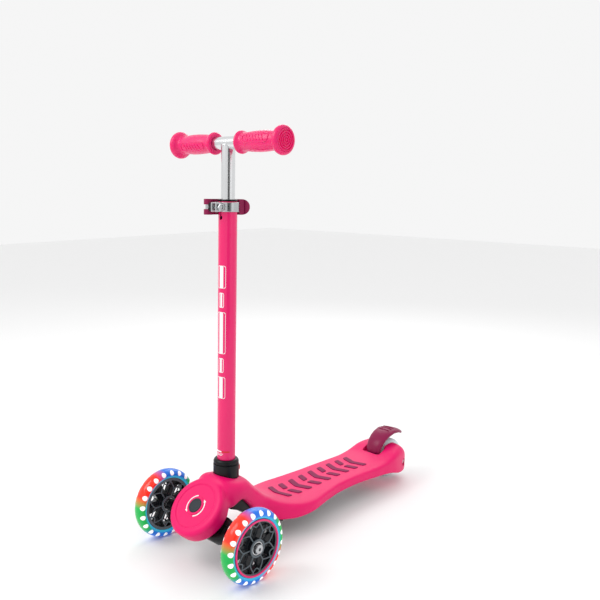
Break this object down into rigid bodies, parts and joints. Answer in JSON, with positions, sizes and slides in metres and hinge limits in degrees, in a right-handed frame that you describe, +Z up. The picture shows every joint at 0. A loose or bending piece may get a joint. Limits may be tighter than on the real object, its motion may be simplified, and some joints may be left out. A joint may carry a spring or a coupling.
{
  "type": "kick scooter",
  "caption": "Child's lean-to-steer kick scooter with a height-adjustable T-bar, clear light-up front wheels, a waved deck and a rear foot brake.",
  "frame": {"origin": "on the floor, under the middle of the overall box", "axes": "+X forward, +Y to the rider's left, +Z up"},
  "size_m": [0.5999, 0.2532, 0.6924],
  "materials": {
    "deck_plastic": "satin moulded plastic",
    "tube_paint": "gloss powder coat",
    "grip_rubber": "matt moulded rubber",
    "inlay_rubber": "matt moulded rubber",
    "lever_plastic": "satin moulded plastic",
    "black_plastic": "fine textured plastic",
    "bush_rubber": "matt",
    "grey_plastic": "fine textured plastic",
    "aluminium": "satin anodised",
    "steel": "plated",
    "clear_tyre": "clear cast polyurethane",
    "light_strip": "white light strip",
    "trim_plastic": "gloss",
    "button_plastic": "satin"
  },
  "bodies": {
    "chassis": {"deck_shell": "deck_plastic", "deck_underside": "black_plastic", "neck_cover": "black_plastic", "deck_screw_1": "steel", "deck_screw_2": "steel", "deck_screw_3": "steel", "deck_screw_4": "steel", "grip_inlay": "inlay_rubber", "lower_tube": "tube_paint", "tube_sleeve": "black_plastic", "stem_end_plug": "black_plastic", "clamp_band": "steel", "clamp_bolt": "steel", "clamp_nut": "steel", "clamp_pivot_pin": "steel", "cam_washer": "black_plastic", "stem_collar": "black_plastic", "collar_top_ring": "black_plastic", "pivot_bolt": "steel", "pivot_nut": "steel", "rear_axle_bolt": "steel", "rear_axle_nut": "steel", "rear_spacer_left": "steel", "rear_spacer_right": "steel", "brake_pin": "steel", "brake_spring": "steel"},
    "t_bar": {"upper_tube": "aluminium", "upper_guide_bush": "black_plastic", "crossbar": "aluminium", "left_grip": "grip_rubber", "right_grip": "grip_rubber"},
    "clamp": {"clamp_lever": "lever_plastic"},
    "release": {"release_button": "button_plastic"},
    "lock": {"lock_button": "grey_plastic", "lock_pin": "steel"},
    "steering": {"axle_beam": "black_plastic", "centring_bush_front": "bush_rubber", "centring_bush_rear": "bush_rubber", "left_axle_bolt": "steel", "right_axle_bolt": "steel", "left_spacer": "steel", "right_spacer": "steel"},
    "left_wheel": {"left_wheel_core": "grey_plastic", "left_tyre": "clear_tyre", "left_led_ring": "light_strip", "left_trim_ring": "trim_plastic", "left_bearing_outer": "steel", "left_bearing_inner": "steel"},
    "right_wheel": {"right_wheel_core": "grey_plastic", "right_tyre": "clear_tyre", "right_led_ring": "light_strip", "right_trim_ring": "trim_plastic", "right_bearing_outer": "steel", "right_bearing_inner": "steel"},
    "rear_wheel": {"rear_wheel_core": "grey_plastic", "rear_tyre": "clear_tyre", "rear_bearing_left": "steel", "rear_bearing_right": "steel"},
    "brake": {"brake_fender": "lever_plastic"}
  },
  "joints": [
    {"name": "bar_height", "type": "slide", "parent": "chassis", "child": "t_bar", "axis": [-0.0175, 0, 0.9998], "range_m": [0, 0.1]},
    {"name": "clamp_lever_hinge", "type": "hinge", "parent": "chassis", "child": "clamp", "pos_m": [0.2105, -0.02, 0.57282], "axis": [-0.0175, 0, 0.9998], "range_deg": [0, 130]},
    {"name": "stem_release", "type": "slide", "parent": "chassis", "child": "release", "axis": [0.9998, 0, 0.0175], "range_m": [0, 0.003], "stiffness_N_per_m": 600, "springref_m": -0.003},
    {"name": "steering_lock", "type": "slide", "parent": "chassis", "child": "lock", "axis": [-0.7071, 0, -0.7071], "range_m": [0, 0.0022]},
    {"name": "lean_steer", "type": "hinge", "parent": "chassis", "child": "steering", "pos_m": [0.262, 0, 0.097], "axis": [0.7071, 0, 0.7071], "range_deg": [-15, 15], "stiffness_Nm_per_rad": 20},
    {"name": "left_wheel_spin", "type": "hinge", "parent": "steering", "child": "left_wheel", "pos_m": [0.24, 0.11, 0.06], "axis": [0, 1, 0], "continuous": true},
    {"name": "right_wheel_spin", "type": "hinge", "parent": "steering", "child": "right_wheel", "pos_m": [0.24, -0.11, 0.06], "axis": [0, 1, 0], "continuous": true},
    {"name": "rear_wheel_spin", "type": "hinge", "parent": "chassis", "child": "rear_wheel", "pos_m": [-0.26, 0, 0.04], "axis": [0, 1, 0], "continuous": true},
    {"name": "brake_press", "type": "hinge", "parent": "chassis", "child": "brake", "pos_m": [-0.2105, 0, 0.057], "axis": [0, -1, 0], "range_deg": [0, 10], "stiffness_Nm_per_rad": 0.8, "springref_deg": -17.19}
  ]
}
